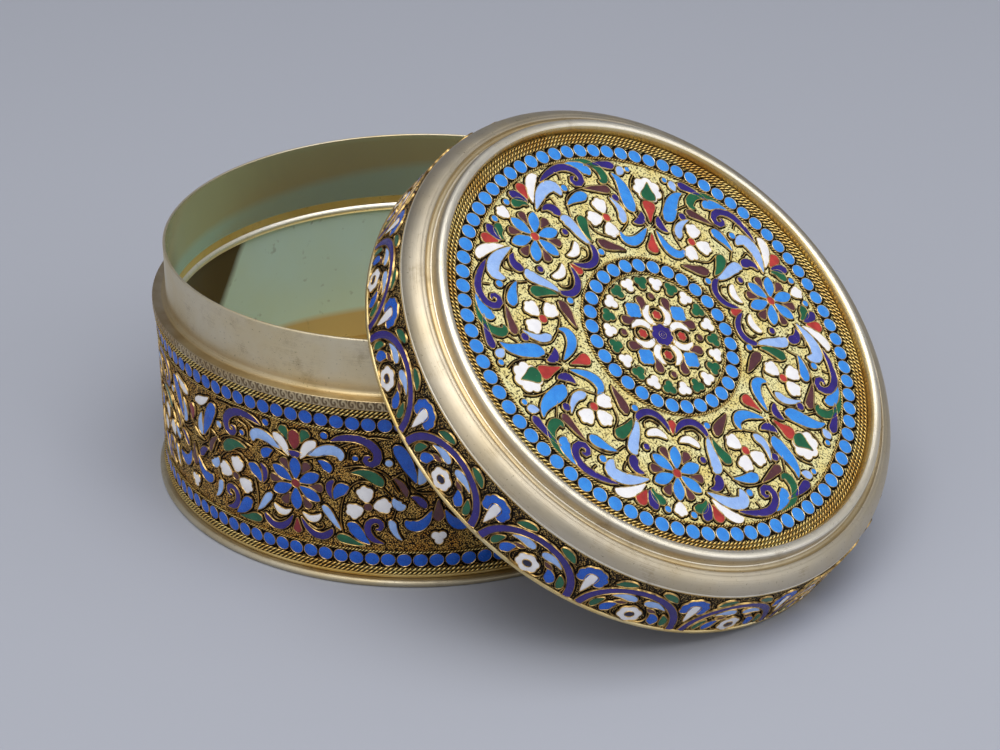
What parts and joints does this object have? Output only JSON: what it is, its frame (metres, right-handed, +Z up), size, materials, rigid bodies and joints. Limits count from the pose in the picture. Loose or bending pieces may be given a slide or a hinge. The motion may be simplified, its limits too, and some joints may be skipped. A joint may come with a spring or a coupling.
{
  "type": "cloisonne jewelry box",
  "caption": "Round silver-gilt jewelry box with cloisonne enamel flowers and scrolls; the loose lid slips over a plain collar and is shown leaning against the box.",
  "frame": {"origin": "centre of the face under the foot ring, on the table", "axes": "+Z up along the box's axis, +X towards the side on which the lid leans"},
  "size_m": [0.1425, 0.1028, 0.0711],
  "materials": {
    "silver_gilt": "satin silver-gilt, worn",
    "inside_gilt": "polished, tarnished silver-gilt",
    "gilt_ground": "stippled gilt",
    "gilt_wire": "bright gilt wire",
    "enamel_turquoise": "opaque enamel",
    "enamel_cobalt": "opaque enamel",
    "enamel_white": "opaque enamel",
    "enamel_red": "translucent enamel",
    "enamel_green": "translucent enamel",
    "enamel_aubergine": "translucent enamel"
  },
  "bodies": {
    "box": {"drum_wall": "gilt_ground", "bottom_plate": "inside_gilt", "foot_ring": "silver_gilt", "foot_wire": "gilt_wire", "foot_rope_lower": "gilt_wire", "foot_rope_upper": "gilt_wire", "lower_beads": "enamel_turquoise", "lower_border_wire": "gilt_wire", "upper_border_wire": "gilt_wire", "upper_beads": "enamel_turquoise", "shoulder_rope_lower": "gilt_wire", "shoulder_rope_upper": "gilt_wire", "shoulder_ring": "silver_gilt", "collar": "silver_gilt", "ledge_ring": "inside_gilt", "wall_blue_petals": "enamel_turquoise", "wall_blue_eyes": "enamel_red", "wall_white_petals": "enamel_white", "wall_white_eyes": "enamel_aubergine"},
    "lid": {"lid_skirt": "gilt_ground", "skirt_edge_wire": "gilt_wire", "slip_ring": "silver_gilt", "lid_moulding": "silver_gilt", "lid_rim": "silver_gilt", "medallion_plate": "gilt_ground", "rim_rope_outer": "gilt_wire", "rim_rope_middle": "gilt_wire", "rim_rope_inner": "gilt_wire", "outer_beads": "enamel_turquoise", "field_wire_outer": "gilt_wire", "field_wire_inner": "gilt_wire", "inner_beads": "enamel_turquoise", "rosette_wire": "gilt_wire", "medallion_blue_petals": "enamel_turquoise", "medallion_blue_eyes": "enamel_red", "medallion_white_petals": "enamel_white", "medallion_white_eyes": "enamel_red", "rosette_flower": "enamel_cobalt", "rosette_white_trefoils": "enamel_white", "rosette_green_trefoils": "enamel_green", "frieze_arches": "enamel_cobalt", "frieze_flowers": "enamel_white", "frieze_eyes": "enamel_cobalt", "frieze_fans": "enamel_turquoise", "frieze_drops": "enamel_white"}
  },
  "joints": [
    {"name": "lid_lift", "type": "slide", "parent": "box", "child": "lid", "axis": [0, 0, 1], "range_m": [0, 0.09]}
  ]
}
